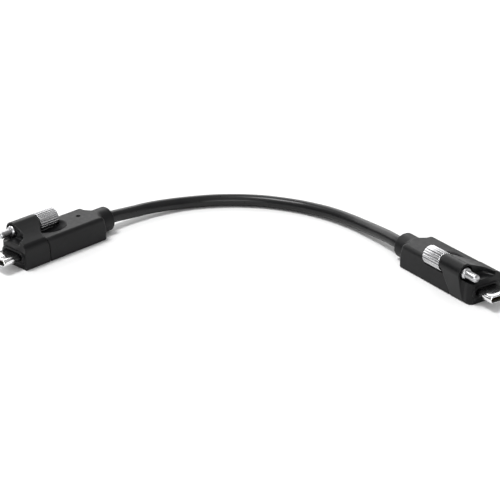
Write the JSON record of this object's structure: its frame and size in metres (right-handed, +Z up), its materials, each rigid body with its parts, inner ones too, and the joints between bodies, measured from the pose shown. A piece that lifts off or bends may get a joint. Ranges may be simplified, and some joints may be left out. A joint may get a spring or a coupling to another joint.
{
  "type": "screw-locking type-c lead",
  "caption": "Short type-c lead with a box-shaped moulded plug and a captive knurled locking screw at each end, lying in a shallow arc.",
  "frame": {"origin": "on the surface the lead lies on, under the middle of the two plugs' common box", "axes": "+X from the left plug towards the right plug, +Z up, and the cable's arc bulges towards +Y while both plugs point outwards and towards -Y"},
  "size_m": [0.1583, 0.0828, 0.012],
  "materials": {
    "housing_plastic": "satin",
    "overmold_plastic": "satin",
    "cable_plastic": "satin",
    "nickel_plate": "bright",
    "knob_plate": "satin nickel, knurled",
    "screw_steel": "bright",
    "spring_steel": "plain",
    "gold_plate": "gold plated",
    "black_plastic": "matte",
    "circuit_board": "solder mask",
    "milky_plastic": "matte",
    "red_insulation": "satin"
  },
  "bodies": {
    "root": {"left_front_housing": "housing_plastic", "left_rear_overmold": "overmold_plastic", "left_plug_shell": "nickel_plate", "left_plug_insulator": "black_plastic", "left_upper_contacts": "gold_plate", "left_lower_contacts": "gold_plate", "left_latch_plate": "spring_steel", "left_paddle_board": "circuit_board", "left_marker_chip": "black_plastic", "left_filter_capacitor": "milky_plastic", "left_upper_shield": "spring_steel", "left_lower_shield": "spring_steel", "left_inner_mold": "milky_plastic", "left_crimp_ferrule": "spring_steel", "left_power_wire": "red_insulation", "left_ground_wire": "black_plastic", "left_control_wire": "milky_plastic", "right_front_housing": "housing_plastic", "right_rear_overmold": "overmold_plastic", "right_plug_shell": "nickel_plate", "right_plug_insulator": "black_plastic", "right_upper_contacts": "gold_plate", "right_lower_contacts": "gold_plate", "right_latch_plate": "spring_steel", "right_paddle_board": "circuit_board", "right_marker_chip": "black_plastic", "right_filter_capacitor": "milky_plastic", "right_upper_shield": "spring_steel", "right_lower_shield": "spring_steel", "right_inner_mold": "milky_plastic", "right_crimp_ferrule": "spring_steel", "right_power_wire": "red_insulation", "right_ground_wire": "black_plastic", "right_control_wire": "milky_plastic", "cable_jacket": "cable_plastic"},
    "left_thumbscrew": {"left_thumbscrew_knob": "knob_plate", "left_thumbscrew_shank": "screw_steel", "left_thumbscrew_retainer": "screw_steel"},
    "right_thumbscrew": {"right_thumbscrew_knob": "knob_plate", "right_thumbscrew_shank": "screw_steel", "right_thumbscrew_retainer": "screw_steel"}
  },
  "joints": [
    {"name": "left_thumbscrew_turn", "type": "hinge", "parent": "root", "child": "left_thumbscrew", "pos_m": [-0.07516, 0.00482, 0.009], "axis": [-0.6921, -0.7218, 0], "continuous": true},
    {"name": "right_thumbscrew_turn", "type": "hinge", "parent": "root", "child": "right_thumbscrew", "pos_m": [0.0679, -0.02636, 0.009], "axis": [0.5592, -0.829, 0], "continuous": true}
  ]
}
